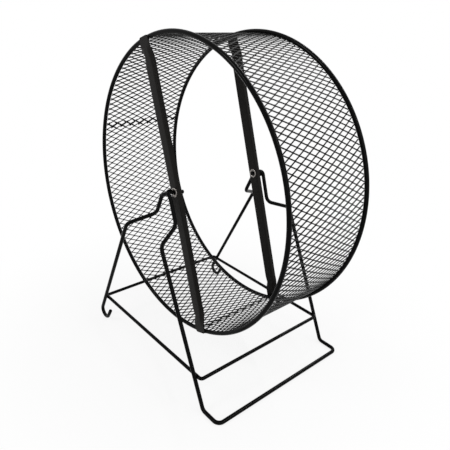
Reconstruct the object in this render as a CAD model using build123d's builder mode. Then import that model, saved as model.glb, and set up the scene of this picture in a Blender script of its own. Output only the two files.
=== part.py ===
from build123d import *
import os
from math import asin, atan2, cos, hypot, pi, radians, sin, sqrt

# Hamster wheel on a bent-wire stand, in millimetres.
# +Z is up. The wheel turns about an axle along Y. The front is -Y and the floor bar lies at +X.
# The origin is on the floor, under the middle of the axle.

# Rims: two rings of round wire
rim_diameter = 280.0  # over the outside of the wire
rim_wire = 3.8
rim_spacing = 96.2  # between the centre lines of the two rings

# Mesh drum: two strips of expanded metal rolled up between the rims, their ends lapped
mesh_sheet = 1.2
mesh_inset = 2.7  # from the rim's outer edge in to the mesh's outer face
mesh_rows = 3  # full diamonds across the drum
mesh_columns = 31  # full diamonds around the drum
mesh_strand = 2.2
lap_length = 9.0  # along the rolled sheet
rear_lap_angle = 166.0  # degrees from +X towards +Z
low_lap_angle = 289.5

# Crossbars: channel strips across the two sides of the wheel, their ends opened out flat. Both have
# their flat face to the front, so that the front bar's flanges point into the wheel.
bar_width = 10.5
bar_depth = 4.4  # over the flanges
bar_sheet = 1.2
bar_fold = 1.0  # outside radius of the folded edges
bar_lean = 19.1  # degrees that the upper end leans towards -X
tongue_width = 12.6
tongue_length = 12.0
tongue_flare = 18.0  # length over which the channel opens out

# Eyelets: flanged metal bushes that run on the pins
eyelet_flange = 9.0
eyelet_lip = 0.6
eyelet_barrel = 5.6
eyelet_clench = 6.8  # over the end that is flared inside the channel

# Stand: legs, floor bar and pins bent from round wire
frame_wire = 3.6
axle_height = 177.0
neck_clearance = 5.1  # from the eyelet's face to the wire that comes down beside it
front_pin_reach = 10.2  # past the front bar's outer face
rear_pin_reach = 3.2
apex_bend = 4.0
right_shoulder_out = 11.0  # the first kink below the axle, from the axle's line
right_shoulder_drop = 9.6
right_shoulder_bend = 7.0
right_neck_out = 13.6
right_neck_drop = 27.7
left_shoulder_out = 8.0
left_shoulder_drop = 2.0
left_shoulder_bend = 5.0
left_neck_out = 18.0
left_neck_drop = 25.8
jog_reach = 24.9  # how far each leg steps outward
jog_bend = 8.0
leg_top_drop = 35.4
right_leg_top = 25.7
left_leg_top = 32.3
right_foot = 92.6  # where the line of the leg meets the line of the foot
foot_bend = 5.0
floor_bar_out = 113.8
corner_bend = 6.0
hook_out = 89.8  # the middle of the hook's bend
hook_bend = 6.0
hook_rise = 65.0  # degrees
hook_tip = 6.5

# Base loop: a rectangle of thinner wire, welded inside the legs
loop_wire = 3.2
loop_height = 27.5
loop_left = 90.5
loop_right = 84.0
loop_bend = 3.0

# Clearances
running_clearance = 0.08  # between a pin and its eyelet, on the radius
press_clearance = 0.02  # between an eyelet's barrel and the hole that holds it
weld_gap = 0.02  # between pieces that are welded or clenched where they meet
overrun = 1.0  # how far a cut runs past what it cuts

# Round wire is drawn with flats inside its diameter, and so are the rings of the wheel, with two
# flats to each column of the mesh and a diamond's corner on every fold. The pins are truly round.
wire_sides = 8
wheel_flats = 2 * mesh_columns

# Worked out from the sizes above
frame_radius = frame_wire / 2
rim_radius = (rim_diameter - rim_wire) / 2
mesh_outer = rim_diameter / 2 - mesh_inset
mesh_inner = mesh_outer - mesh_sheet
mesh_seat = sqrt((rim_wire / 2 + weld_gap) ** 2 - (rim_radius - mesh_outer) ** 2)
mesh_half = rim_spacing / 2 - mesh_seat
selvedge_line = mesh_half - mesh_strand / 2
bar_inside = rim_spacing / 2 + rim_wire / 2 + weld_gap
bar_face = bar_inside + bar_sheet
bar_end = rim_diameter / 2
channel_end = bar_end - tongue_length - tongue_flare
eyelet_face = bar_face + weld_gap + eyelet_lip
pin_bore = frame_radius + running_clearance
neck_y = eyelet_face + neck_clearance + frame_radius
leg_y = neck_y + jog_reach
loop_y = leg_y - (frame_wire + loop_wire) / 2 - weld_gap
floor_line = frame_radius - axle_height

axle_plane = Plane.XY.offset(axle_height)
wheel_plane = Plane(origin=(0, 0, axle_height), x_dir=(1, 0, 0), z_dir=(0, -1, 0))


def unit(run, rise):
    """A run and a rise in the wheel's plane, made one unit long."""
    length = hypot(run, rise)
    return run / length, rise / length


def sweep_wire(path, diameter, corners=Transition.TRANSFORMED):
    """Wire along a path: the bends are arcs of the path, unless its corners are mitred."""
    with BuildSketch(Plane(origin=path @ 0, z_dir=path % 0)) as section:
        RegularPolygon(diameter / 2, wire_sides)
    sweep(section.sketch, path=path, transition=corners)


def finish(piece, name):
    piece.part.label = name
    export_step(piece.part, f"parts/{name}.step")


# Wheel: rims

def make_rim(side):
    with BuildPart() as rim:
        with BuildSketch(wheel_plane.offset(-side * rim_spacing / 2)) as hoop:
            RegularPolygon(rim_radius, wheel_flats)
        sweep_wire(hoop.sketch.face().outer_wire(), rim_wire, Transition.RIGHT)
    return rim


# Wheel: mesh drum

def drum_planes(across, shift):
    """A ring of planes on the drum that face outward, X around it and Y towards its front."""
    planes = []
    for column in range(mesh_columns):
        turn = 2 * pi * (column + shift) / mesh_columns
        outward = Vector(cos(turn), 0, sin(turn))
        foot = outward * (mesh_outer + overrun) + Vector(0, across, axle_height)
        planes.append(Plane(origin=foot, x_dir=(-sin(turn), 0, cos(turn)), z_dir=outward))
    return planes


def cut_openings(across, shift, corners):
    """One ring of openings through the sheet and the lap inside it."""
    with BuildSketch(*drum_planes(across, shift)) as openings:
        with BuildLine():
            Polyline(*corners, close=True)
        make_face()
    extrude(openings.sketch, amount=-2 * (mesh_sheet + overrun), mode=Mode.SUBTRACT)


def lap_ends(angle):
    """Where the two rays from the axle that bound a lap pass the sheet."""
    half_lap = lap_length / mesh_inner / 2
    turns = [radians(angle) - half_lap, radians(angle) + half_lap]
    return [(mesh_outer * cos(turn), mesh_outer * sin(turn)) for turn in turns]


def make_mesh():
    half_around = pi * mesh_outer / mesh_columns
    half_across = selvedge_line / mesh_rows
    # A diamond's centre lies this far from the middle of each strand, which takes half its width
    strand_height = half_around * half_across / hypot(half_around, half_across)
    around = half_around * (1 - mesh_strand / 2 / strand_height)
    across = half_across * (1 - mesh_strand / 2 / strand_height)
    diamond = [(around, 0), (0, across), (-around, 0), (0, -across)]
    near = mesh_strand / 2
    near_around = around * (1 - near / across)
    with BuildPart() as mesh:
        with BuildSketch(wheel_plane.offset(-mesh_half)):
            RegularPolygon(mesh_outer, wheel_flats)
            RegularPolygon(mesh_inner, wheel_flats, mode=Mode.SUBTRACT)
        for lap_angle in (rear_lap_angle, low_lap_angle):
            with BuildSketch(wheel_plane.offset(-mesh_half)):
                RegularPolygon(mesh_inner, wheel_flats)
                RegularPolygon(mesh_inner - mesh_sheet, wheel_flats, mode=Mode.SUBTRACT)
                with BuildLine():
                    Polyline((0, 0), *lap_ends(lap_angle), close=True)
                make_face(mode=Mode.INTERSECT)
        extrude(amount=2 * mesh_half)
        for row in range(1, 2 * mesh_rows):
            cut_openings((row - mesh_rows) * half_across, (row + 1) % 2 / 2, diamond)
        for side in (-1, 1):
            half_diamond = [(near_around, side * near), (0, side * across), (-near_around, side * near)]
            cut_openings(side * selvedge_line, 1 / 2, half_diamond)
    return mesh


# Wheel: crossbars

def make_bar(face_y):
    lean = radians(bar_lean)
    face = Plane(origin=(0, face_y, axle_height), x_dir=(cos(lean), 0, sin(lean)), z_dir=(0, -1, 0))
    across = Plane(face.origin, x_dir=face.y_dir, z_dir=face.x_dir)
    half, edge = bar_width / 2, tongue_width / 2
    flare_end = channel_end + tongue_flare
    upper = [(half, channel_end), (edge, flare_end), (edge, bar_end)]
    right_side = [(x, -y) for x, y in upper[::-1]] + upper
    left_side = [(-x, y) for x, y in right_side[::-1]]
    with BuildPart() as bar:
        with BuildSketch(face):
            with BuildLine():
                Polyline(*right_side, *left_side, close=True)
            make_face()
        extrude(amount=-bar_depth)
        with BuildSketch(face.offset(-bar_sheet)):
            with BuildLine():
                Polyline(*right_side, *left_side, close=True)
            make_face()
            offset(amount=-bar_sheet, kind=Kind.INTERSECTION)
        extrude(amount=-bar_depth, mode=Mode.SUBTRACT)
        # The flanges run out towards the tongues, as seen across the strip
        with BuildSketch(across):
            for end in (-1, 1):
                with BuildLine():
                    Polyline(
                        (end * channel_end, -bar_depth),
                        (end * flare_end, -bar_sheet),
                        (end * (bar_end + overrun), -bar_sheet),
                        (end * (bar_end + overrun), -bar_depth - overrun),
                        (end * channel_end, -bar_depth - overrun),
                        close=True,
                    )
                make_face()
        extrude(amount=tongue_width, both=True, mode=Mode.SUBTRACT)
        long_edges = bar.edges().filter_by(lambda line: line.length > 2 * channel_end - overrun)
        fillet(long_edges.group_by(Axis.Y)[0], bar_fold)
        with Locations(face):
            Hole(eyelet_barrel / 2 + press_clearance)
    return bar


# Wheel: eyelets

def make_eyelet(face_y):
    """An eyelet whose flange lies on the flat face of a bar and whose other end is clenched behind it."""
    barrel = eyelet_barrel / 2
    seat, clench = face_y - weld_gap, face_y + bar_sheet + weld_gap
    face, back = seat - eyelet_lip, clench + eyelet_lip
    with BuildPart() as eyelet:
        with BuildSketch(axle_plane):
            with BuildLine():
                Polyline(
                    (pin_bore, back), (pin_bore, face), (eyelet_flange / 2, face),
                    (eyelet_flange / 2, seat), (barrel, seat), (barrel, clench),
                    (eyelet_clench / 2, back), close=True,
                )
            make_face()
        revolve(axis=Axis((0, 0, axle_height), (0, 1, 0)))
    return eyelet


# Stand: the frame wire, one bent wire from pin to pin

def make_frame():
    half_way = [
        (0, neck_y, 0),
        (right_shoulder_out, neck_y, -right_shoulder_drop),
        (right_neck_out, neck_y, -right_neck_drop),
        (right_leg_top, leg_y, -leg_top_drop),
        (right_foot, leg_y, floor_line),
        (floor_bar_out, leg_y, floor_line),
    ]
    half_bends = [apex_bend, right_shoulder_bend, jog_bend, jog_bend, foot_bend, corner_bend]
    front_way = [(x, -y, z) for x, y, z in half_way]
    points = [(0, -bar_face, 0)] + front_way + half_way[::-1] + [(0, bar_face, 0)]
    with BuildPart() as frame:
        for side, reach in ((-1, front_pin_reach), (1, rear_pin_reach)):
            root = (0, side * (neck_y - apex_bend), axle_height)
            with BuildSketch(Plane(origin=root, z_dir=(0, -side, 0))):
                Circle(frame_radius)
            extrude(amount=neck_y - apex_bend - bar_face + reach)
        with BuildLine(axle_plane) as route:
            FilletPolyline(*points, radius=half_bends + half_bends[::-1])
        sweep_wire(route.wire(), frame_wire)
    return frame


# Stand: left legs, welded under the frame wire's first bend

def make_left_leg(side):
    wire_way = unit(right_shoulder_out, -right_shoulder_drop)
    weld = apex_bend * wire_way[0], apex_bend * wire_way[1]
    leg_way = unit(weld[0] + left_shoulder_out, weld[1] + left_shoulder_drop)
    # The square end clears the round side of the wire that it meets at a slant
    cosine = abs(wire_way[0] * leg_way[0] + wire_way[1] * leg_way[1])
    standoff = (frame_radius + weld_gap + frame_radius * cosine) / sqrt(1 - cosine ** 2)
    start = weld[0] - standoff * leg_way[0], weld[1] - standoff * leg_way[1]
    hook_middle = -hook_out, floor_line + hook_bend
    fall = hook_middle[0] + left_leg_top, hook_middle[1] + leg_top_drop
    heading = atan2(fall[1], fall[0]) - asin(hook_bend / hypot(*fall))
    rise = radians(hook_rise)

    def on_hook(way):
        return (hook_middle[0] + hook_bend * sin(way), side * leg_y, hook_middle[1] - hook_bend * cos(way))

    points = [
        (start[0], side * neck_y, start[1]),
        (-left_shoulder_out, side * neck_y, -left_shoulder_drop),
        (-left_neck_out, side * neck_y, -left_neck_drop),
        (-left_leg_top, side * leg_y, -leg_top_drop),
        on_hook(heading),
    ]
    end = on_hook(rise)
    tip = (end[0] + hook_tip * cos(rise), end[1], end[2] + hook_tip * sin(rise))
    with BuildPart() as leg:
        with BuildLine(axle_plane) as route:
            FilletPolyline(*points, radius=[left_shoulder_bend, jog_bend, jog_bend])
            ThreePointArc(on_hook(heading), on_hook(0), end)
            Line(end, tip)
        sweep_wire(route.wire(), frame_wire)
    return leg


# Stand: base loop

def make_loop():
    corners = [
        (-loop_left, -loop_y),
        (loop_right, -loop_y),
        (loop_right, loop_y),
        (-loop_left, loop_y),
    ]
    with BuildPart() as loop:
        with BuildLine(Plane.XY.offset(loop_height)) as route:
            FilletPolyline(*corners, radius=loop_bend, close=True)
        sweep_wire(route.wire(), loop_wire)
    return loop


os.makedirs("parts", exist_ok=True)
finish(make_rim(-1), "front_rim")
finish(make_rim(1), "rear_rim")
finish(make_mesh(), "mesh_drum")
finish(make_bar(-bar_face), "front_crossbar")
finish(make_bar(bar_inside), "rear_crossbar")
finish(make_eyelet(-bar_face), "front_eyelet")
finish(make_eyelet(bar_inside), "rear_eyelet")
finish(make_frame(), "frame_wire")
finish(make_left_leg(-1), "front_left_leg")
finish(make_left_leg(1), "rear_left_leg")
finish(make_loop(), "base_loop")
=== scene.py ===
# %% [markdown]
# # A wire-and-mesh hamster wheel
#
# The wheel is a drum of expanded metal between two rings of wire. It spins on two wire pins, which
# are the ends of a stand bent from one wire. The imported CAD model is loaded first. It is the frame
# that every piece here sits in, in metres, with the floor at z = 0 and the axle along Y.

from math import asin, atan2, cos, hypot, pi, radians, sin, sqrt, tan

import bmesh
import bpy
from mathutils import Matrix, Vector, noise


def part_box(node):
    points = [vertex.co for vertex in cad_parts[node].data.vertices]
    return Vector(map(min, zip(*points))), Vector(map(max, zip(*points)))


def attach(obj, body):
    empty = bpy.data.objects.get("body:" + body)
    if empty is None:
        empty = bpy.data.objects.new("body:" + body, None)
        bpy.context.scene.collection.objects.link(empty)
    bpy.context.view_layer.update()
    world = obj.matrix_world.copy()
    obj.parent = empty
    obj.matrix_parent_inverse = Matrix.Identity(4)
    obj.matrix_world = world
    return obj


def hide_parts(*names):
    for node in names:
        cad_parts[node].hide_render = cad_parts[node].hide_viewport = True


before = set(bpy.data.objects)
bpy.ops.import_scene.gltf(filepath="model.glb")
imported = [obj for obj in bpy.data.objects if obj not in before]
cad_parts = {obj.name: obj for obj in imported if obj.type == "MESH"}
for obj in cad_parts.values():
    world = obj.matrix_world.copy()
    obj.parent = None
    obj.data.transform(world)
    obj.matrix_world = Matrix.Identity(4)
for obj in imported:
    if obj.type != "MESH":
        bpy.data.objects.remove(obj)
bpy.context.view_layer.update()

# %% [markdown]
# ## Sizes
#
# A maker works in millimetres, so the sizes are written that way and turned to metres where they
# are used. Where the CAD model can be asked for a size, it is asked: the boxes of its nodes give
# the axle's height, the place of the rings, and the faces of the bars, the eyelets and the mesh.
# The wires here are a little thicker than in the CAD model, because the photograph's are.

# %% Sizes of the wheel and the stand
MM = 0.001
ENDS = {"front": -1, "rear": 1}  # the two ends of the axle, and which way each lies along Y

rim_low, rim_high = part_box("rear_rim")
AXLE_Z = (rim_low.z + rim_high.z) / 2
AXLE = Vector((0, 0, AXLE_Z))
RIM_Y = (rim_low.y + rim_high.y) / 2
MESH_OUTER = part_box("mesh_drum")[1].x
# Both bars and both eyelets look to the front, so their faces are at the lowest y of their boxes
BAR_FACES = {end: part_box(f"{end}_crossbar")[0].y for end in ENDS}
EYELET_FACES = {end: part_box(f"{end}_eyelet")[0].y for end in ENDS}

WHEEL_RADIUS = 140.0 * MM
RIM_WIRE = 4.1 * MM
FRAME_WIRE = 3.85 * MM
LOOP_WIRE = 3.5 * MM
RIM_RADIUS = WHEEL_RADIUS - RIM_WIRE / 2
print("axle at", round(AXLE_Z / MM, 2), "mm, rings at", round(RIM_Y / MM, 2), "mm to each side")
print("bars at", [round(y / MM, 2) for y in BAR_FACES.values()], "mm along the axle")

# %% [markdown]
# ## Camera
#
# The photograph looks down on the wheel from its front right. A camera is placed on that line, at
# the distance that gives the same perspective, and turned a little about its own axis. The small
# shift puts the wheel where the photograph has it in the frame.

# %% Place the camera
IMAGE_SIDE = 450
CAMERA_AZIMUTH, CAMERA_ELEVATION, CAMERA_ROLL = radians(48.7), radians(25.57), radians(2.87)
CAMERA_TARGET = Vector((1.98, 0.0, 125.45)) * MM
CAMERA_DISTANCE = 492.8 * MM
FOCAL_PIXELS = 477.5
AXIS_PIXEL = (215.4, 229.9)
SENSOR_WIDTH = 36.0
CLIP_START, CLIP_END = 0.01, 20.0

camera = bpy.data.objects.new("camera", bpy.data.cameras.new("camera"))
bpy.context.scene.collection.objects.link(camera)
bpy.context.scene.camera = camera
camera.data.sensor_width = SENSOR_WIDTH
camera.data.lens = FOCAL_PIXELS / IMAGE_SIDE * SENSOR_WIDTH
camera.data.shift_x = (IMAGE_SIDE / 2 - AXIS_PIXEL[0]) / IMAGE_SIDE
camera.data.shift_y = (AXIS_PIXEL[1] - IMAGE_SIDE / 2) / IMAGE_SIDE
camera.data.clip_start, camera.data.clip_end = CLIP_START, CLIP_END
back = Vector((
    sin(CAMERA_AZIMUTH) * cos(CAMERA_ELEVATION),
    -cos(CAMERA_AZIMUTH) * cos(CAMERA_ELEVATION),
    sin(CAMERA_ELEVATION),
))
level = Vector((0, 0, 1)).cross(back).normalized()
lift = back.cross(level)
right = level * cos(CAMERA_ROLL) + lift * sin(CAMERA_ROLL)
up = lift * cos(CAMERA_ROLL) - level * sin(CAMERA_ROLL)
turn = Matrix((right, up, back)).transposed().to_4x4()
camera.matrix_world = Matrix.Translation(CAMERA_TARGET + back * CAMERA_DISTANCE) @ turn
print("camera at", [round(x / MM, 1) for x in camera.location], "mm, lens", round(camera.data.lens, 2))

# %% [markdown]
# ## Writing materials
#
# A material is a graph of nodes. Wiring it by hand takes many lines, so two small classes do it:
# `Value` lets a socket stand in a plain sum, and each sum adds the Math node that works it out.
# `Finish` starts a material and adds any other node from its type, its settings and its inputs.

# %% Helpers for materials
class Value:
    """A node's output that can be used in a sum."""

    def __init__(self, finish, socket):
        self.finish, self.socket = finish, socket

    def sum(self, operation, first, second):
        return self.finish.node("ShaderNodeMath", {"operation": operation}, {0: first, 1: second})

    def __add__(self, other):
        return self.sum("ADD", self, other)

    def __sub__(self, other):
        return self.sum("SUBTRACT", self, other)

    def __rsub__(self, other):
        return self.sum("SUBTRACT", other, self)

    def __mul__(self, other):
        return self.sum("MULTIPLY", self, other)

    __radd__, __rmul__ = __add__, __mul__


class Finish:
    """A material and the nodes that make it."""

    def __init__(self, name):
        self.material = bpy.data.materials.new(name)
        self.material.use_nodes = True
        self.tree = self.material.node_tree
        self.tree.nodes.clear()

    def node(self, kind, settings=None, inputs=None, output=0):
        """Adds a node: its settings first, then a value or a link for each of its sockets."""
        made = self.tree.nodes.new(kind)
        for name, value in (settings or {}).items():
            setattr(made, name, value)
        for name, value in (inputs or {}).items():
            socket = made.inputs[name]
            if isinstance(value, Value):
                self.tree.links.new(value.socket, socket)
            else:
                socket.default_value = value
        return Value(self, made.outputs[output])

    def place(self):
        return self.node("ShaderNodeTexCoord", output="Object")

    def noise(self, place, scale, detail, roughness):
        inputs = {"Vector": place, "Scale": scale, "Detail": detail, "Roughness": roughness}
        return self.node("ShaderNodeTexNoise", {}, inputs, "Fac")

    def mix(self, factor, first, second):
        """A colour between two. A Mix node's colour sockets have numbers, because its names repeat."""
        settings = {"data_type": "RGBA"}
        return self.node("ShaderNodeMix", settings, {0: factor, 6: first, 7: second}, 2)

    def end(self, shader):
        output = self.tree.nodes.new("ShaderNodeOutputMaterial")
        self.tree.links.new(shader.socket, output.inputs["Surface"])
        return self.material


def grey(level, warmth=0.0):
    """A linear grey, warmer where warmth is above zero."""
    return (level * (1 + warmth), level, level * (1 - warmth), 1.0)


def spread(value, limits):
    """A value from 0 to 1 spread over the range between two limits."""
    return value * (limits[1] - limits[0]) + limits[0]


# %% [markdown]
# ## Floor and backdrop
#
# The photograph is a studio picture on white. The white is the colour of the floor and of the
# backdrop as the camera and the shiny surfaces see them, and not more light on the object. Near
# the wheel the floor keeps a share of its own shading, so that the faint shadow stays, and the
# share fades to none before the picture's edge.

# %% Build the floor and the backdrop
FLOOR_SIDE = 60.0
FLOOR_PAINT = 0.9
FLOOR_SHADE_SHARE = 0.16
SHADE_REACH = (0.12, 0.32)  # metres from the middle over which the share fades
WORLD_STRENGTH = 0.5
SEEN_RAYS = ("Is Camera Ray", "Is Glossy Ray", "Is Transmission Ray")


def seen_directly(graph):
    """1 for what the camera, a reflection or a transparent surface sees, otherwise 0."""
    rays = [graph.node("ShaderNodeLightPath", output=name) for name in SEEN_RAYS]
    either = {"operation": "ADD", "use_clamp": True}
    return graph.node("ShaderNodeMath", either, {0: rays[0] + rays[1], 1: rays[2]})


def distance_of(graph, place):
    return graph.node("ShaderNodeVectorMath", {"operation": "LENGTH"}, {0: place}, "Value")


floor_finish = Finish("white_floor")
floor_lit = floor_finish.node("ShaderNodeBsdfDiffuse", {}, {"Color": grey(FLOOR_PAINT)}, "BSDF")
floor_white = floor_finish.node("ShaderNodeEmission", {}, {"Color": grey(1.0), "Strength": 1.0})
near_wheel = floor_finish.node("ShaderNodeMapRange", {"interpolation_type": "SMOOTHSTEP"}, {
    "Value": distance_of(floor_finish, floor_finish.place()),
    "From Min": SHADE_REACH[0], "From Max": SHADE_REACH[1], "To Min": 1.0, "To Max": 0.0,
})
white_share = seen_directly(floor_finish) * (1 - near_wheel * FLOOR_SHADE_SHARE)
floor_shaders = {0: white_share, 1: floor_lit, 2: floor_white}
floor_mesh = bmesh.new()
bmesh.ops.create_grid(floor_mesh, x_segments=1, y_segments=1, size=FLOOR_SIDE / 2)
floor_data = bpy.data.meshes.new("floor")
floor_mesh.to_mesh(floor_data)
floor_mesh.free()
floor_data.materials.append(floor_finish.end(floor_finish.node("ShaderNodeMixShader", {}, floor_shaders)))
floor = bpy.data.objects.new("floor", floor_data)
bpy.context.scene.collection.objects.link(floor)


class Surround(Finish):
    """The same helpers on the world's own nodes."""

    def __init__(self, surroundings):
        self.material, self.tree = surroundings, surroundings.node_tree
        self.tree.nodes.clear()

    def end(self, shader):
        output = self.tree.nodes.new("ShaderNodeOutputWorld")
        self.tree.links.new(shader.socket, output.inputs["Surface"])


world = bpy.data.worlds.new("studio")
bpy.context.scene.world = world
world.use_nodes = True
studio = Surround(world)
brightness = spread(seen_directly(studio), (WORLD_STRENGTH, 1.0))
studio.end(studio.node("ShaderNodeBackground", {}, {"Color": grey(1.0), "Strength": brightness}))
bpy.context.scene.view_settings.view_transform = "Standard"
print("floor", FLOOR_SIDE, "m wide, surroundings at", WORLD_STRENGTH)

# %% [markdown]
# ## Lamps
#
# The light is soft and plain: pale surroundings, a key lamp in front on the left, and a larger one
# on the right. A long narrow lamp above and behind draws the thin highlights that run along the
# rings and over the top of the mesh.

# %% Hang the lamps
WHEEL_MIDDLE = (0, 0, 160)
LAMPS = {  # place and sides in millimetres, power in watts
    "key": ((-500, -1300, 1300), (500, 500), 8),
    "fill": ((1500, -300, 900), (1200, 1200), 6),
    "strip": ((350, 800, 1150), (2200, 40), 9),
}


def add_lamp(name, place, sides, power):
    """A soft rectangular lamp, its first side level, aimed at the middle of the wheel."""
    lamp = bpy.data.objects.new(name, bpy.data.lights.new(name, "AREA"))
    bpy.context.scene.collection.objects.link(lamp)
    lamp.data.shape, lamp.data.energy = "RECTANGLE", power
    lamp.data.size, lamp.data.size_y = sides[0] * MM, sides[1] * MM
    lamp.location = Vector(place) * MM
    away = lamp.location - Vector(WHEEL_MIDDLE) * MM
    lamp.rotation_mode = "QUATERNION"
    lamp.rotation_quaternion = away.to_track_quat("Z", "Y")


for name, (place, sides, power) in LAMPS.items():
    add_lamp(name, place, sides, power)

# %% [markdown]
# ## Finishes
#
# The wire, the mesh and the bars have one black coat, baked on as powder. It is never one flat
# black: the powder flows into a fine orange peel, lies a little thicker in one place than in
# another, and is duller where hands and bedding have rubbed it. The peel is a bump with cells of
# about a millimetre, and broad noise shifts the colour and the gloss. The eyelets are steel, worn
# bright and turned on a lathe, so their gloss varies in rings about the axle.

# %% Black powder coats and worn steel
# Noises: scale per metre, detail and roughness
PATCHES = (38.0, 3.0, 0.5)
SPECKS = (900.0, 1.0, 0.5)
RUBS = (160.0, 4.0, 0.6)
PEEL = (650.0, 2.0, 0.5)
STAINS = (500.0, 3.0, 0.5)
PATCH_SHARE = 0.7
PEEL_STRENGTH = 0.6
RING_SCALE, RING_DETAIL = 9000.0, 2.0
RING_DEPTH, RING_STRENGTH = 0.01 * MM, 0.5
STEEL_ROUGHNESS = (0.24, 0.38)
STEEL_DARK, STEEL_PALE = grey(0.12, 0.08), grey(0.4, 0.06)


def coat_finish(name, dark, pale, roughness, peel, specular):
    """Baked powder: two blacks, the roughness range and the depth of the peel in millimetres."""
    coat = Finish(name)
    place = coat.place()
    blend = coat.noise(place, *PATCHES) * PATCH_SHARE + coat.noise(place, *SPECKS) * (1 - PATCH_SHARE)
    bump = coat.node("ShaderNodeBump", {}, {
        "Height": coat.noise(place, *PEEL), "Distance": peel * MM, "Strength": PEEL_STRENGTH,
    })
    return coat.end(coat.node("ShaderNodeBsdfPrincipled", {}, {
        "Base Color": coat.mix(blend, dark, pale),
        "Roughness": spread(coat.noise(place, *RUBS), roughness),
        "Normal": bump,
        "Specular IOR Level": specular,
    }))


def turned_steel(name):
    """Steel with fine rings about the axle and darker stains."""
    steel = Finish(name)
    place = steel.place()
    to_axle = {"Vector": place, "Location": (0, 0, -AXLE_Z), "Scale": (1, 0, 1)}
    distance = distance_of(steel, steel.node("ShaderNodeMapping", {}, to_axle))
    ring_noise = {"W": distance, "Scale": RING_SCALE, "Detail": RING_DETAIL}
    rings = steel.node("ShaderNodeTexNoise", {"noise_dimensions": "1D"}, ring_noise, "Fac")
    bump = steel.node("ShaderNodeBump", {}, {
        "Height": rings, "Distance": RING_DEPTH, "Strength": RING_STRENGTH,
    })
    return steel.end(steel.node("ShaderNodeBsdfPrincipled", {}, {
        "Base Color": steel.mix(steel.noise(place, *STAINS), STEEL_DARK, STEEL_PALE),
        "Metallic": 1.0,
        "Roughness": spread(rings, STEEL_ROUGHNESS),
        "Normal": bump,
    }))


wire_coat = coat_finish(
    "black_wire_coat", grey(0.0004), grey(0.002), roughness=(0.1, 0.2), peel=0.03, specular=0.05
)
mesh_coat = coat_finish(
    "black_mesh_coat", grey(0.002), grey(0.006), roughness=(0.34, 0.5), peel=0.05, specular=0.1
)
bar_coat = coat_finish(
    "black_bar_coat", grey(0.004, 0.1), grey(0.009, 0.12), roughness=(0.36, 0.5), peel=0.06, specular=0.08
)
eyelet_steel = turned_steel("bright_eyelet_steel")
print("finishes:", [m.name for m in bpy.data.materials if m.name.startswith(("black", "bright"))])

# %% [markdown]
# ## From a bmesh to a piece
#
# Every piece is finished in the same way: doubles are merged, the faces are turned outwards, the
# mesh becomes an object at the origin, it is hung on the CAD body it rides on, and the CAD nodes
# it stands for are hidden. An operator of bmesh returns what it made as one mixed list, so two short
# helpers pick the vertices or the edges out of it.

# %% Helpers for meshes
MERGE = 0.002 * MM
SMOOTH_BELOW = 40.0


def verts_in(parts):
    return [part for part in parts if isinstance(part, bmesh.types.BMVert)]


def edges_in(parts):
    return [part for part in parts if isinstance(part, bmesh.types.BMEdge)]


def everything(bm):
    """All of a mesh, in the form that the operators take."""
    return bm.verts[:] + bm.edges[:] + bm.faces[:]


def finish_piece(bm, name, material, body, nodes=(), smooth_below=SMOOTH_BELOW):
    """Makes a bmesh a piece, smooth where its faces meet at less than an angle in degrees."""
    bmesh.ops.remove_doubles(bm, verts=bm.verts, dist=MERGE)
    bmesh.ops.recalc_face_normals(bm, faces=bm.faces)
    mesh = bpy.data.meshes.new(name)
    bm.to_mesh(mesh)
    bm.free()
    mesh.shade_smooth()
    mesh.set_sharp_from_angle(angle=radians(smooth_below))
    mesh.materials.append(material)
    piece = bpy.data.objects.new(name, mesh)
    bpy.context.scene.collection.objects.link(piece)
    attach(piece, body)
    if nodes:
        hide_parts(*nodes)
    print(name, "has", sum(len(p.vertices) - 2 for p in mesh.polygons), "triangles")


# %% [markdown]
# ## Rims
#
# Each rim is a straight wire rolled to a ring and welded end to end. A circle of vertices is the
# wire's section, and one full spin about the axle rolls it, as the ring roller does.

# %% Roll the two rims
WIRE_SEGMENTS = 20
RIM_STEPS = 180


def wire_section(bm, place, way, diameter):
    """A circle of vertices and edges, the wire's section, at a place and square to a way."""
    turn = Vector(way).to_track_quat("Z", "Y").to_matrix().to_4x4()
    matrix = Matrix.Translation(place) @ turn
    made = bmesh.ops.create_circle(bm, segments=WIRE_SEGMENTS, radius=diameter / 2, matrix=matrix)
    edges = {edge for vertex in made["verts"] for edge in vertex.link_edges}
    return made["verts"] + list(edges)


def spin_round_axle(bm, section, steps):
    """One full turn of a section about the axle, its last step merged with its first."""
    bmesh.ops.spin(
        bm, geom=section, cent=AXLE, axis=(0, 1, 0), angle=2 * pi, steps=steps, use_merge=True
    )


for end, side in ENDS.items():
    rim = bmesh.new()
    section = wire_section(rim, (RIM_RADIUS, side * RIM_Y, AXLE_Z), (0, 0, 1), RIM_WIRE)
    spin_round_axle(rim, section, RIM_STEPS)
    finish_piece(rim, f"{end}_rim_ring", wire_coat, "wheel", [f"{end}_rim"])

# %% [markdown]
# ## Bending wire
#
# The stand is bent from wire on a bender that feeds a straight length, turns it round a pin, and
# feeds again. The helper below does the same with a section of vertices: it extrudes it along each
# straight run and spins it about the middle of each bend. A curve with a bevel would also do, but
# the spin keeps every bend a true arc and leaves the long runs without needless faces.

# %% The wire bender
BEND_STEP = radians(7)
END_ROUNDING = 0.35 * MM


def extrude_section(bm, section, run):
    """Feeds a section straight on and returns the new one."""
    fed = bmesh.ops.extrude_edge_only(bm, edges=edges_in(section))["geom"]
    moved = verts_in(fed)
    bmesh.ops.translate(bm, verts=moved, vec=run)
    return moved + [edge for edge in edges_in(fed) if all(v in moved for v in edge.verts)]


def close_end(bm, section):
    """Caps a cut end and breaks its sharp edge, as tumbling does."""
    edges = edges_in(section)
    bmesh.ops.contextual_create(bm, geom=edges)
    bmesh.ops.bevel(
        bm, geom=edges, offset=END_ROUNDING, offset_type="OFFSET", segments=2, profile=0.5,
        affect="EDGES", material=-1,
    )


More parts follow.
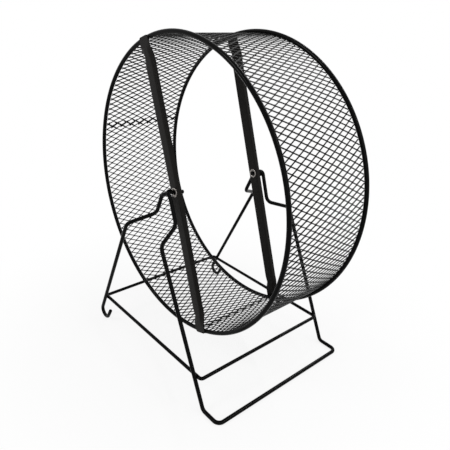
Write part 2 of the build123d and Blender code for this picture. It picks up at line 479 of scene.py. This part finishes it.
def bend_wire(points, radii, diameter, closed=False):
    """Wire through points in millimetres from the axle, with a bend radius at each corner.

    An open wire has its ends at the first and the last point. A closed one has a corner at every
    point, and its joint is in the middle of the run from the last to the first.
    """
    bm = bmesh.new()
    stops = [Vector(p) * MM + AXLE for p in points]
    first = 0 if closed else 1
    here = (stops[-1] + stops[0]) / 2 if closed else stops[0]
    finish = here.copy() if closed else stops[-1]
    section = wire_section(bm, here, stops[first] - here, diameter)
    starting = list(section)
    for number, radius_mm in enumerate(radii):
        corner = stops[first + number]
        after = stops[(first + number + 1) % len(stops)]
        way_in, way_out = (corner - here).normalized(), (after - corner).normalized()
        bend = way_in.angle(way_out)
        radius = radius_mm * MM
        reach = radius * tan(bend / 2)
        section = extrude_section(bm, section, corner - way_in * reach - here)
        axis = way_in.cross(way_out).normalized()
        middle = corner - way_in * reach + axis.cross(way_in) * radius
        steps = max(2, round(bend / BEND_STEP))
        spun = bmesh.ops.spin(bm, geom=section, cent=middle, axis=axis, angle=bend, steps=steps)
        section = spun["geom_last"]
        here = corner + way_out * reach
    section = extrude_section(bm, section, finish - here)
    if not closed:
        close_end(bm, starting)
        close_end(bm, section)
    return bm


# %% [markdown]
# ## The frame wire
#
# One wire makes the front pin, the front right leg, the floor bar, the rear right leg and the rear
# pin. Each pin turns down into a neck beside the wheel, the wire steps outward to clear the rims,
# and then the leg runs to the floor. The stand was bent by hand on a jig, so its pins lean a
# little, the front one has a hump where it turns down, and the rear leg starts lower than the
# front one. The wire's line is a list of corners in millimetres from the axle.

# %% Bend the frame wire
NECK_Y, LEG_Y = 58.74, 83.64
FOOT_X, FLOOR_BAR_X = 92.6, 113.8
FLOOR_Z = (FRAME_WIRE / 2 - AXLE_Z) / MM

right_ways = {
    "front": [
        (0, -41.02, -1.2),  # the pin's cut end, inside the wheel
        (-0.3, -53.2, 0.4),  # the end of the pin, outside the eyelet
        (-2.2, -59.2, 4.8),  # the hump
        (4.5, -NECK_Y, -2.0),  # the top of the neck
        (13.9, -NECK_Y, -26.5),  # its foot, where the wire steps outward
        (25.7, -LEG_Y, -35.4),  # the top of the leg
        (FOOT_X, -LEG_Y, FLOOR_Z),  # its foot
        (FLOOR_BAR_X, -LEG_Y, FLOOR_Z),  # the floor bar's corner
    ],
    "rear": [
        (-0.1, 48.02, -0.2),
        (0.2, 53.2, 0.3),
        (2.8, 61.4, 1.9),  # the top of the neck: this pin has no hump
        (16.2, NECK_Y, -28.6),
        (26.4, LEG_Y, -37.2),
        (FOOT_X, LEG_Y, FLOOR_Z),
        (FLOOR_BAR_X, LEG_Y, FLOOR_Z),
    ],
}
right_bends = {  # at every corner but the cut end
    "front": [5.0, 2.8, 9.0, 8.0, 8.0, 5.0, 6.0],
    "rear": [5.0, 3.6, 8.0, 8.0, 5.0, 6.0],
}
frame_points = right_ways["front"] + right_ways["rear"][::-1]
frame_bends = right_bends["front"] + right_bends["rear"][::-1]
stand_wire = bend_wire(frame_points, frame_bends, FRAME_WIRE)
finish_piece(stand_wire, "stand_wire", wire_coat, "stand", ["frame_wire"])

# %% [markdown]
# ## The left legs
#
# Each left leg is a second wire. Its upper end is welded under the frame wire's first bend, and its
# foot is turned up in a hook, so that no cut end scratches the floor.

# %% Bend the two left legs
HOOK_BEND, HOOK_RISE, HOOK_TIP = 7.0, radians(60), 11.4
HOOK_MIDDLE = (-88.2, FLOOR_Z + HOOK_BEND)
LEFT_BENDS = [4.0, 8.0, 8.0, HOOK_BEND, HOOK_BEND]
left_ways = {  # the welded end, the top and the foot of the neck, and the top of the leg
    "front": [
        (-0.4, -NECK_Y, 0.3), (-8.4, -NECK_Y, -3.0), (-18.1, -NECK_Y, -25.0), (-32.3, -LEG_Y, -35.4),
    ],
    "rear": [
        (2.3, 60.4, -2.4), (-7.0, 59.6, -2.8), (-17.6, NECK_Y, -27.0), (-29.0, LEG_Y, -37.2),
    ],
}


def round_hook(way, distance):
    """The point (x, z) at a distance from the hook's middle where a wire round it runs that way."""
    return (HOOK_MIDDLE[0] + distance * sin(way), HOOK_MIDDLE[1] - distance * cos(way))


def hook_points(top):
    """The hook's corners and end. It turns through more than half a circle: it has two corners."""
    fall = (HOOK_MIDDLE[0] - top[0], HOOK_MIDDLE[1] - top[2])
    heading = atan2(fall[1], fall[0]) - asin(HOOK_BEND / hypot(*fall))
    quarter = (HOOK_RISE - heading) / 4
    corners = [round_hook(heading + turns * quarter, HOOK_BEND / cos(quarter)) for turns in (1, 3)]
    x, z = round_hook(HOOK_RISE, HOOK_BEND)
    tip = (x + HOOK_TIP * cos(HOOK_RISE), z + HOOK_TIP * sin(HOOK_RISE))
    return [(x, top[1], z) for x, z in corners + [tip]]


for end, way in left_ways.items():
    leg = bend_wire(way + hook_points(way[-1]), LEFT_BENDS, FRAME_WIRE)
    finish_piece(leg, f"{end}_hooked_leg", wire_coat, "stand", [f"{end}_left_leg"])

# %% [markdown]
# ## The base loop
#
# A rectangle of thinner wire ties the four legs together near the floor. It is bent round and butt
# welded, so it closes on itself. It was not welded on quite level, and climbs towards the floor
# bar.

# %% Bend the base loop
LOOP_Y, LOOP_LEFT, LOOP_RIGHT = 80.22, -90.5, 84.0
LOOP_HEIGHT, LOOP_CLIMB = 27.5, 2.6
LOOP_BEND = 3.0


def loop_z(x):
    """The loop's height at a place along it, from the axle."""
    return LOOP_HEIGHT - AXLE_Z / MM + LOOP_CLIMB * (x - LOOP_LEFT) / (LOOP_RIGHT - LOOP_LEFT)


loop_corners = [
    (x, y, loop_z(x))
    for x, y in ((LOOP_RIGHT, -LOOP_Y), (LOOP_RIGHT, LOOP_Y), (LOOP_LEFT, LOOP_Y), (LOOP_LEFT, -LOOP_Y))
]
loop = bend_wire(loop_corners, [LOOP_BEND] * len(loop_corners), LOOP_WIRE, closed=True)
finish_piece(loop, "tie_loop", wire_coat, "stand", ["base_loop"])

# %% [markdown]
# ## Expanded metal
#
# The drum is expanded metal: sheet that a press slits and pulls open, so that it becomes rows of
# diamonds with no waste. Two strands lie side by side at each bond and part again after it. The
# pull leaves all of them tilted the same way, but this sheet was rolled flat after it, and only a
# trace of the tilt is left. One bond with its four half strands is the whole pattern. It is made
# flat, repeated across the strip and along it, and given its thickness. The faces of a bond are
# few because there are over two thousand.

# %% Make one bond and open out a flat strip
COLUMNS = 140
STRAND, SHEET, BOND_HALF = 0.95 * MM, 0.6 * MM, 0.8 * MM
MESH_RADIUS = MESH_OUTER - SHEET
MESH_HALF = 46.3 * MM
LONG_PITCH = 11.5 * MM
SHORT_PITCH = 2 * pi * MESH_RADIUS / COLUMNS
TILT = radians(-2)
CELLS_ACROSS = 10  # more than the drum's width takes, since the strip is cut to it afterwards
BOND_MERGE, STRIP_MERGE = 0.001 * MM, 0.01 * MM


def make_bond():
    """Two strands side by side, parting into four half strands, flat and tilted."""
    bm = bmesh.new()
    rise = tan(TILT)
    flat_run = LONG_PITCH / 4 - BOND_HALF
    half_cut = STRAND / 2 * hypot(flat_run, SHORT_PITCH / 4 - STRAND / 2) / flat_run
    arm_end = {0.0: SHORT_PITCH / 4 - half_cut, STRAND: SHORT_PITCH / 4 + half_cut}
    outline = ((0, -BOND_HALF), (STRAND, -BOND_HALF), (STRAND, BOND_HALF), (0, BOND_HALF))
    bond = bm.faces.new([bm.verts.new((x, y, x * rise)) for x, y in outline])
    for edge in [e for e in bond.edges if abs(e.verts[0].co.y - e.verts[1].co.y) < BOND_HALF]:
        way = 1 if edge.verts[0].co.y > 0 else -1
        for vertex in verts_in(bmesh.ops.extrude_edge_only(bm, edges=[edge])["geom"]):
            across = arm_end[STRAND if vertex.co.x > STRAND / 2 else 0.0]
            vertex.co = (across, way * LONG_PITCH / 4, (across - SHORT_PITCH / 4) * rise)
    other = verts_in(bmesh.ops.duplicate(bm, geom=everything(bm))["geom"])
    bmesh.ops.rotate(bm, verts=other, cent=(0, 0, 0), matrix=Matrix.Rotation(pi, 3, "Y"))
    bmesh.ops.remove_doubles(bm, verts=bm.verts, dist=BOND_MERGE)
    return bm


def repeat(bm, step, count):
    """Copies all that is there, again and again, a step apart."""
    bmesh.ops.spin(
        bm, geom=everything(bm), cent=(0, 0, 0), axis=(0, 0, 1), angle=0, dvec=step,
        steps=count - 1, use_duplicate=True,
    )


def flat_strip(columns, first_across):
    """Expanded metal of a number of columns, cut to the drum's width and given its thickness."""
    bm = make_bond()
    half_step = verts_in(bmesh.ops.duplicate(bm, geom=everything(bm))["geom"])
    bmesh.ops.translate(bm, verts=half_step, vec=(SHORT_PITCH / 2, LONG_PITCH / 2, 0))
    bmesh.ops.translate(bm, verts=bm.verts, vec=(0, first_across, 0))
    repeat(bm, (0, LONG_PITCH, 0), CELLS_ACROSS)
    for side in ENDS.values():
        edge, outward = (0, side * MESH_HALF, 0), (0, side, 0)
        bmesh.ops.bisect_plane(bm, geom=everything(bm), plane_co=edge, plane_no=outward, clear_outer=True)
    repeat(bm, (SHORT_PITCH, 0, 0), columns)
    bmesh.ops.remove_doubles(bm, verts=bm.verts, dist=STRIP_MERGE)
    bmesh.ops.recalc_face_normals(bm, faces=bm.faces)
    bmesh.ops.solidify(bm, geom=bm.faces[:], thickness=SHEET)
    return bm


print("cells of", round(LONG_PITCH / MM, 2), "by", round(SHORT_PITCH / MM, 2), "mm,", COLUMNS, "around")

# %% [markdown]
# The drum is rolled from two strips, which lap over one column where they meet. At a lap the end
# of the long strip steps inside the short one, so that a row of doubled strands is seen there.

# %% Roll the two strips into the drum
LAP_STEP, LAP_COLUMNS = 1.3 * MM, 1
STRIPS = {  # columns, angle of the start in degrees, place of the first bond across, lap
    "mesh_strip_short": {"columns": 49, "start": 165.0, "phase": -46.0, "steps_in": False},
    "mesh_strip_long": {"columns": 93, "start": 288.4, "phase": -44.4, "steps_in": True},
}


def smooth_step(part):
    """0 at 0 and 1 at 1, level at both."""
    return part * part * (3 - 2 * part)


def roll(bm, start, columns, steps_in):
    """Bends the flat strip round the axle, its ends stepped inwards if it lies inside the laps."""
    length = columns * SHORT_PITCH
    lap = LAP_COLUMNS * SHORT_PITCH
    for vertex in bm.verts:
        along, across, height = vertex.co
        end_gap = min(max(min(along, length - along), 0.0), lap) / lap
        drop = LAP_STEP * (1 - smooth_step(end_gap)) if steps_in else 0.0
        radius = MESH_RADIUS + height - drop
        way = radians(start) + along / MESH_RADIUS
        vertex.co = (radius * cos(way), across, AXLE_Z + radius * sin(way))


for name, strip in STRIPS.items():
    mesh_strip = flat_strip(strip["columns"], strip["phase"] * MM)
    roll(mesh_strip, strip["start"], strip["columns"], strip["steps_in"])
    finish_piece(mesh_strip, name, mesh_coat, "wheel", ["mesh_drum"])

# %% [markdown]
# ## Crossbars
#
# A crossbar is a strip of sheet folded to a channel. Towards each end the press opens the channel
# out again, so that a flat tongue laps the rim and is welded to it. The model folds it the same
# way: one row of vertices is the strip's section, and at each station along the strip the fold is
# opened by another few degrees. The creases run together as it opens.

# %% The section of a strip that is folded and opened again
BAR_SHEET = 1.2 * MM
BAR_FOLD = 1.0 * MM
WEB_HALF, TONGUE_WEB_HALF = 4.55 * MM, 1.5 * MM
FLANGE = 3.7 * MM
WEB_PARTS, FOLD_PARTS, FLANGE_PARTS = 2, 5, 3
FLAT = 0.01  # radians, below which a fold counts as opened out


def bar_section(opened):
    """Half of the strip's outer face, from its middle to its edge, as (across, depth) pairs."""
    fold = pi / 2 * (1 - opened)
    web = WEB_HALF + (TONGUE_WEB_HALF - WEB_HALF) * opened
    arc = BAR_FOLD * pi / 2
    points = [(web * part / WEB_PARTS, 0.0) for part in range(WEB_PARTS)]
    for part in range(FOLD_PARTS + 1):
        turned = fold * part / FOLD_PARTS
        if fold > FLAT:
            points.append((web + arc / fold * sin(turned), arc / fold * (cos(turned) - 1)))
        else:
            points.append((web + arc * part / FOLD_PARTS, 0.0))
    x, y = points[-1]
    for part in range(1, FLANGE_PARTS + 1):
        run = FLANGE * part / FLANGE_PARTS
        points.append((x + run * cos(fold), y - run * sin(fold)))
    return points


def bar_row(opened):
    """The whole section, edge to edge."""
    half = bar_section(opened)
    return [(-x, y) for x, y in half[:0:-1]] + half


tongue_half = bar_section(1.0)[-1][0]
print("channel", round(2 * (WEB_HALF + BAR_FOLD) / MM, 2), "mm wide, tongue", round(2 * tongue_half / MM, 2))

# %% [markdown]
# The row is drawn out over one half of the strip and mirrored to the other. Then the part of the
# web in the middle is cut away and bridged to a circle, which is the hole for the eyelet, and the
# strip gets its thickness.

# %% Fold a strip and punch its hole
FLARE_START, FLARE_END, BAR_END = 112 * MM, 132 * MM, 139.5 * MM
FLARE_STEPS = 12
TONGUE_CORNER = 2.2 * MM
EYELET_HOLE, HOLE_ZONE, HOLE_SEGMENTS = 2.82 * MM, 4.6 * MM, 24
BAR_MERGE = 0.005 * MM
SLACK = 0.01 * MM


def order_of(vertex, row):
    """The place in the row of the vertex that an extruded one came from."""
    return next(number for number, old in enumerate(row) for e in vertex.link_edges if old in e.verts)


def corner_setback(x):
    """How far the tongue's rounded corner sets its end back, at a place across it."""
    into = min(max(abs(x) - tongue_half + TONGUE_CORNER, 0.0), TONGUE_CORNER)
    return TONGUE_CORNER - sqrt(TONGUE_CORNER ** 2 - into ** 2)


def draw_strip(bm):
    """Draws the row out from the strip's middle to its end, opening the fold on the way."""
    stations = [(HOLE_ZONE, 0.0), (FLARE_START, 0.0)]
    for step in range(1, FLARE_STEPS + 1):
        part = step / FLARE_STEPS
        stations.append((FLARE_START + (FLARE_END - FLARE_START) * part, smooth_step(part)))
    stations.append((BAR_END, 1.0))
    row = [bm.verts.new((x, y, 0)) for x, y in bar_row(0.0)]
    edges = [bm.edges.new(pair) for pair in zip(row, row[1:])]
    for place, opened in stations:
        fed = verts_in(bmesh.ops.extrude_edge_only(bm, edges=edges)["geom"])
        fresh = sorted(fed, key=lambda vertex: order_of(vertex, row))
        for vertex, (x, y) in zip(fresh, bar_row(opened)):
            vertex.co = (x, y, place - (corner_setback(x) if place == BAR_END else 0.0))
        edges = [bm.edges.get(pair) for pair in zip(fresh, fresh[1:])]
        row = fresh
    bmesh.ops.mirror(bm, geom=everything(bm), matrix=Matrix.Identity(4), merge_dist=SLACK, axis="Z")


def near_hole(part):
    """Whether a face or an edge lies in the part of the web that holds the eyelet."""
    return all(abs(v.co.z) < HOLE_ZONE + SLACK and abs(v.co.x) < WEB_HALF + SLACK for v in part.verts)


def punch_hole(bm):
    """Cuts the middle of the web away and bridges what is left to a circle."""
    web = [face for face in bm.faces if near_hole(face)]
    bmesh.ops.delete(bm, geom=web, context="FACES")
    outer = [edge for edge in bm.edges if len(edge.link_faces) == 1 and near_hole(edge)]
    facing = Matrix.Rotation(pi / 2, 4, "X")
    hole = bmesh.ops.create_circle(bm, segments=HOLE_SEGMENTS, radius=EYELET_HOLE, matrix=facing)
    inner = list({edge for vertex in hole["verts"] for edge in vertex.link_edges})
    bmesh.ops.bridge_loops(bm, edges=outer + inner)
    bmesh.ops.remove_doubles(bm, verts=bm.verts, dist=BAR_MERGE)


def make_bar():
    """The strip in its own frame: X across it, Y out of its face, Z along it."""
    bm = bmesh.new()
    draw_strip(bm)
    punch_hole(bm)
    bmesh.ops.recalc_face_normals(bm, faces=bm.faces)
    on_web = Vector((0, 0, FLARE_START / 2))
    web_face = min(bm.faces, key=lambda face: (face.calc_center_median() - on_web).length)
    if web_face.normal.y < 0:
        bmesh.ops.reverse_faces(bm, faces=bm.faces)
    bmesh.ops.solidify(bm, geom=bm.faces[:], thickness=BAR_SHEET)
    return bm


# %% [markdown]
# Both bars are turned so that the flat face looks to the front. They lean with the wheel as it
# stands in the photograph, and the upper half of the front one is bent a little sideways.

# %% Set the crossbars
BAR_LEAN = radians(19.1)
BAR_BOWS = {"front": 3.6 * MM, "rear": 0.0}  # sideways at the upper end

for end, face_y in BAR_FACES.items():
    bar = make_bar()
    bmesh.ops.rotate(bar, verts=bar.verts, cent=(0, 0, 0), matrix=Matrix.Rotation(pi, 3, "Z"))
    for vertex in bar.verts:
        vertex.co.x -= BAR_BOWS[end] * (max(vertex.co.z, 0.0) / BAR_END) ** 2
    bmesh.ops.rotate(bar, verts=bar.verts, cent=(0, 0, 0), matrix=Matrix.Rotation(-BAR_LEAN, 3, "Y"))
    bmesh.ops.translate(bar, verts=bar.verts, vec=(0, face_y, AXLE_Z))
    finish_piece(bar, f"{end}_channel_bar", bar_coat, "wheel", [f"{end}_crossbar"])

# %% [markdown]
# ## Eyelets
#
# The bush in the middle of each bar is a steel eyelet: a tube with a rolled flange, pushed through
# the bar and flared behind it. Its mouth is a funnel, worn by the pin. Its section is drawn once
# and spun about the axle, as on a lathe.

# %% Turn the two eyelets
# Radii and depths behind the eyelet's face, in millimetres
BORE, BARREL = 2.3, 2.8
FLANGE_THICKNESS, BAR_GRIP, CLENCH = 0.6, 1.24, 0.6
EYELET_STEPS = 64
EYELET_SMOOTH_BELOW = 60.0
back_of_flange = FLANGE_THICKNESS
clench = back_of_flange + BAR_GRIP
eyelet_profile = [
    (BORE, clench + CLENCH - 0.15), (BORE, 1.4),  # the bore
    (2.38, 1.05), (2.56, 0.62), (2.92, 0.28), (3.3, 0.06),  # the funnel
    (3.7, 0.0), (4.12, 0.1), (4.38, 0.28), (4.5, 0.47), (4.46, back_of_flange),  # the flange
    (BARREL, back_of_flange), (BARREL, clench),  # the barrel
    (3.3, clench + 0.12), (3.4, clench + 0.34), (3.1, clench + CLENCH - 0.1), (2.5, clench + CLENCH),
]
for end, face_y in EYELET_FACES.items():
    eyelet = bmesh.new()
    ring = [eyelet.verts.new((r * MM, face_y + depth * MM, AXLE_Z)) for r, depth in eyelet_profile]
    sides = [eyelet.edges.new(pair) for pair in zip(ring, ring[1:] + ring[:1])]
    spin_round_axle(eyelet, ring + sides, EYELET_STEPS)
    finish_piece(
        eyelet, f"{end}_bush", eyelet_steel, "wheel", [f"{end}_eyelet"],
        smooth_below=EYELET_SMOOTH_BELOW,
    )

# %% [markdown]
# ## Welds
#
# The wires are spot welded where they cross, and the tongues of the bars are welded to the rims. A
# weld of this kind is a small flat bead of metal squeezed out of the contact, under the same coat.
# It starts as a small sphere, is flattened, and gets an uneven edge from a smooth noise.

# %% Helper for weld beads
UNEVEN, UNEVEN_SCALE, UNEVEN_SHIFT = 0.16, 1.6, 0.7


def weld_bead(bm, place, sizes, turn=0.0):
    """A flattened bead: its place and half sizes in millimetres, turned about the axle's direction."""
    made = bmesh.ops.create_icosphere(bm, subdivisions=3, radius=1.0)["verts"]
    for vertex in made:
        uneven = 1 + UNEVEN * noise.noise(vertex.co * UNEVEN_SCALE + Vector(place) * UNEVEN_SHIFT)
        vertex.co = Vector([part * size * uneven * MM for part, size in zip(vertex.co, sizes)])
    bmesh.ops.rotate(bm, verts=made, cent=(0, 0, 0), matrix=Matrix.Rotation(turn, 3, "Y"))
    bmesh.ops.translate(bm, verts=made, vec=Vector(place) * MM + AXLE)


# %% Set the beads of the stand, at the loop's four corners and where the left legs start
LOOP_BEAD, TOP_BEAD = (2.1, 0.9, 1.5), (1.5, 1.9, 1.9)
RIGHT_CROSSING, LEFT_CROSSING = 80.0, -87.0  # about where the legs cross the loop
TOP_OFFSET = (0.5, 0.0, 0.2)

stand_welds = bmesh.new()
for end, side in ENDS.items():
    right_top, left_top = right_ways[end][-3], left_ways[end][-1]
    right_foot, left_foot = right_ways[end][-2], hook_points(left_top)[0]
    for top, foot, crossing in (
        (right_top, right_foot, RIGHT_CROSSING), (left_top, left_foot, LEFT_CROSSING),
    ):
        share = (top[2] - loop_z(crossing)) / (top[2] - foot[2])
        x = top[0] + (foot[0] - top[0]) * share
        weld_bead(stand_welds, (x, side * (LOOP_Y + LOOP_WIRE / MM / 2), loop_z(x)), LOOP_BEAD)
    weld_bead(stand_welds, Vector(left_ways[end][0]) + Vector(TOP_OFFSET), TOP_BEAD)
finish_piece(stand_welds, "stand_weld_beads", wire_coat, "stand")

# %% Set the beads of the wheel, at both edges of each tongue
RIM_BEAD = (1.7, 0.8, 1.3)
BEAD_ACROSS = 6.1
# The sides of the bars that lie on the rims
RIM_CONTACTS = {"front": (BAR_FACES["front"] + BAR_SHEET) / MM, "rear": BAR_FACES["rear"] / MM}

wheel_welds = bmesh.new()
for end, contact in RIM_CONTACTS.items():
    for reach, bow in ((-RIM_RADIUS / MM, 0.0), (RIM_RADIUS / MM, BAR_BOWS[end] / MM)):
        for across in (-BEAD_ACROSS - bow, BEAD_ACROSS - bow):
            x = across * cos(BAR_LEAN) - reach * sin(BAR_LEAN)
            z = across * sin(BAR_LEAN) + reach * cos(BAR_LEAN)
            weld_bead(wheel_welds, (x, contact, z), RIM_BEAD, -BAR_LEAN)
finish_piece(wheel_welds, "rim_weld_beads", wire_coat, "wheel")
